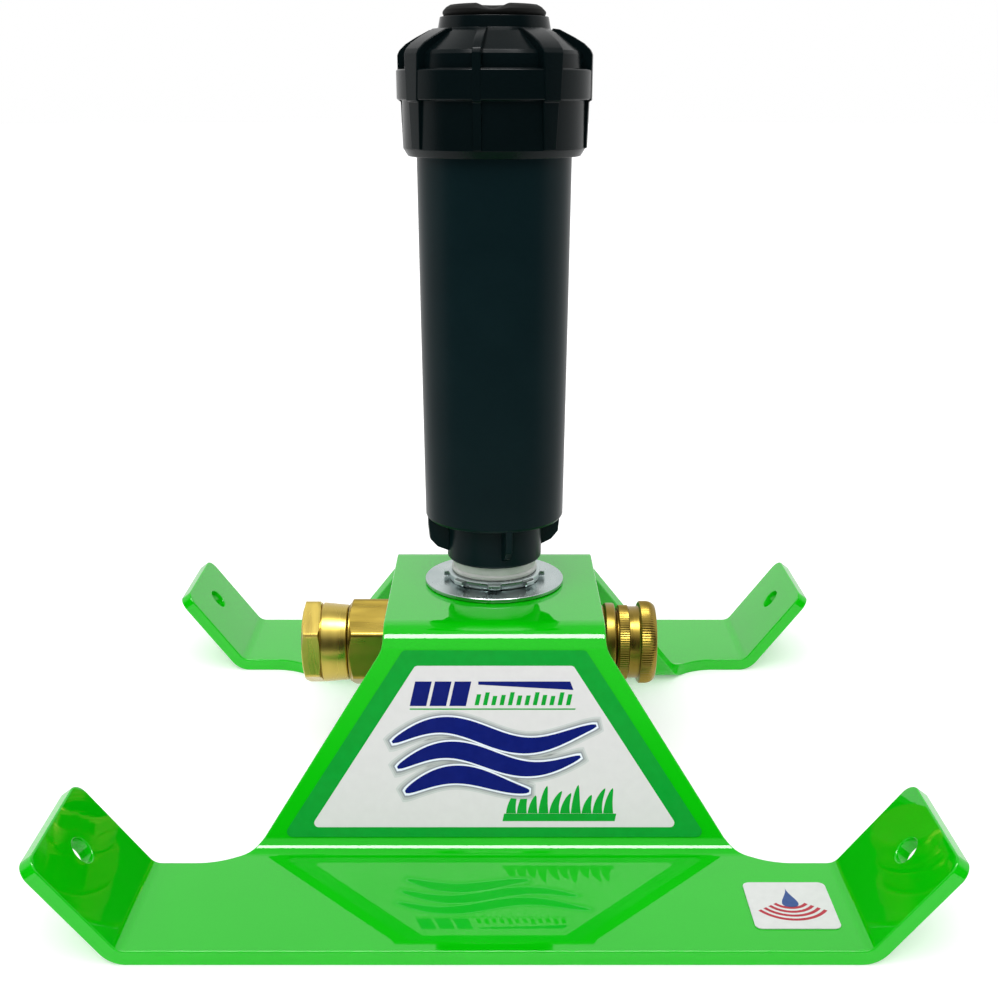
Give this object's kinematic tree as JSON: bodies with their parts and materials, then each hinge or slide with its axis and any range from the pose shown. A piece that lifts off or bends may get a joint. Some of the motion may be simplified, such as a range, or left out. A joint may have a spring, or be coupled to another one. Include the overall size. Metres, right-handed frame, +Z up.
{
  "type": "pop-up rotor sprinkler on sled base",
  "caption": "Retracted pop-up gear-driven rotor standing on a sled bent from one painted steel plate, with brass hose fittings under the top plate",
  "frame": {"origin": "on the floor, under the middle of the sled's bounding box", "axes": "+X along the runners towards the capped outlet, +Y to the rear leg without the label, +Z up along the rotor"},
  "size_m": [0.3052, 0.3048, 0.2892],
  "materials": {
    "green_powder_coat": "glossy powder coat",
    "label_print": "printed vinyl, gloss laminate",
    "sticker_print": "printed vinyl",
    "zinc_plate": "bright zinc plating",
    "grey_pipe": "moulded pipe plastic",
    "brass": "machined, lightly tarnished",
    "black_rubber": "moulded rubber",
    "black_plastic": "moulded ABS, semi-gloss",
    "grey_plastic": "moulded acetal",
    "acetal": "moulded acetal",
    "stainless_steel": "drawn stainless steel",
    "nozzle_plastic": "moulded plastic"
  },
  "bodies": {
    "root": {"sled_frame": "green_powder_coat", "front_label": "label_print", "runner_sticker": "sticker_print", "flat_washer": "zinc_plate", "locknut": "zinc_plate", "pipe_nipple": "grey_pipe", "pipe_tee": "brass", "inlet_adapter": "brass", "swivel_washer": "black_rubber", "outlet_adapter": "brass", "rotor_case": "black_plastic", "rotor_cap": "black_plastic", "riser_seal": "black_rubber", "seal_retainer": "acetal", "retraction_spring": "stainless_steel"},
    "riser_body": {"riser": "black_plastic", "ratchet_ring": "acetal", "shaft_bushing": "acetal", "shaft_o_ring": "black_rubber", "thrust_washer": "acetal", "filter_screen": "acetal", "check_seal": "black_rubber", "stator": "acetal", "main_axle": "stainless_steel", "lay_axle": "stainless_steel", "gearbox_housing": "grey_plastic", "gearbox_cover": "grey_plastic"},
    "turret_body": {"turret": "black_plastic", "nozzle": "nozzle_plastic", "turret_cover": "black_rubber", "output_shaft": "acetal", "output_gear": "acetal"},
    "gear_3": {"idler_gear_3": "acetal"},
    "gear_2": {"idler_gear_2": "acetal"},
    "gear_1": {"idler_gear_1": "acetal"},
    "turbine_body": {"turbine": "acetal", "turbine_pinion": "stainless_steel"},
    "arc_ring_body": {"arc_ring": "acetal"},
    "arc_screw_body": {"arc_screw": "stainless_steel"},
    "radius_screw_body": {"radius_screw": "stainless_steel"},
    "swivel_nut_body": {"swivel_nut": "brass"},
    "cap_washer_body": {"cap_washer": "black_rubber"},
    "hose_cap_body": {"hose_cap": "brass"}
  },
  "joints": [
    {"name": "riser_pop_up", "type": "slide", "parent": "root", "child": "riser_body", "axis": [0, 0, 1], "range_m": [0, 0.1], "stiffness_N_per_m": 250, "springref_m": -0.07, "deforming": ["retraction_spring"]},
    {"name": "turret_turn", "type": "hinge", "parent": "riser_body", "child": "turret_body", "pos_m": [0, 0.0065, 0.2508], "axis": [0, 0, 1], "range_deg": [0, 360]},
    {"name": "idler_3_turn", "type": "hinge", "parent": "riser_body", "child": "gear_3", "pos_m": [0.0073, 0.0065, 0.1658], "axis": [0, 0, 1], "range_deg": [-1080, 0]},
    {"name": "idler_2_turn", "type": "hinge", "parent": "riser_body", "child": "gear_2", "pos_m": [0, 0.0065, 0.1618], "axis": [0, 0, 1], "range_deg": [0, 3240]},
    {"name": "idler_1_turn", "type": "hinge", "parent": "riser_body", "child": "gear_1", "pos_m": [0.0073, 0.0065, 0.1578], "axis": [0, 0, 1], "range_deg": [-9720, 0]},
    {"name": "turbine_turn", "type": "hinge", "parent": "riser_body", "child": "turbine_body", "pos_m": [0, 0.0065, 0.1438], "axis": [0, 0, 1], "range_deg": [0, 29160]},
    {"name": "arc_screw_turn", "type": "hinge", "parent": "turret_body", "child": "arc_screw_body", "pos_m": [0.0121, 0.0065, 0.2548], "axis": [0, 0, 1], "range_deg": [0, 960]},
    {"name": "arc_ring_turn", "type": "hinge", "parent": "turret_body", "child": "arc_ring_body", "pos_m": [0, 0.0065, 0.2548], "axis": [0, 0, 1], "range_deg": [-320, 0]},
    {"name": "radius_screw_travel", "type": "slide", "parent": "turret_body", "child": "radius_screw_body", "axis": [0, 0, -1], "range_m": [0, 0.005]},
    {"name": "swivel_nut_turn", "type": "hinge", "parent": "root", "child": "swivel_nut_body", "pos_m": [-0.0696, 0.0065, 0.0509], "axis": [1, 0, 0], "continuous": true},
    {"name": "hose_cap_travel", "type": "slide", "parent": "root", "child": "cap_washer_body", "axis": [1, 0, 0], "range_m": [0, 0.01105]},
    {"name": "hose_cap_turn", "type": "hinge", "parent": "cap_washer_body", "child": "hose_cap_body", "pos_m": [0.059, 0.0065, 0.0509], "axis": [1, 0, 0], "range_deg": [0, 1800]}
  ],
  "couplings": [
    {"joint": "idler_3_turn", "follows": "turret_turn", "ratio": -3},
    {"joint": "idler_2_turn", "follows": "turret_turn", "ratio": 9},
    {"joint": "idler_1_turn", "follows": "turret_turn", "ratio": -27},
    {"joint": "turbine_turn", "follows": "turret_turn", "ratio": 81},
    {"joint": "arc_ring_turn", "follows": "arc_screw_turn", "ratio": -0.33333},
    {"joint": "hose_cap_travel", "follows": "hose_cap_turn", "m_per_rad": 0.00035153}
  ]
}
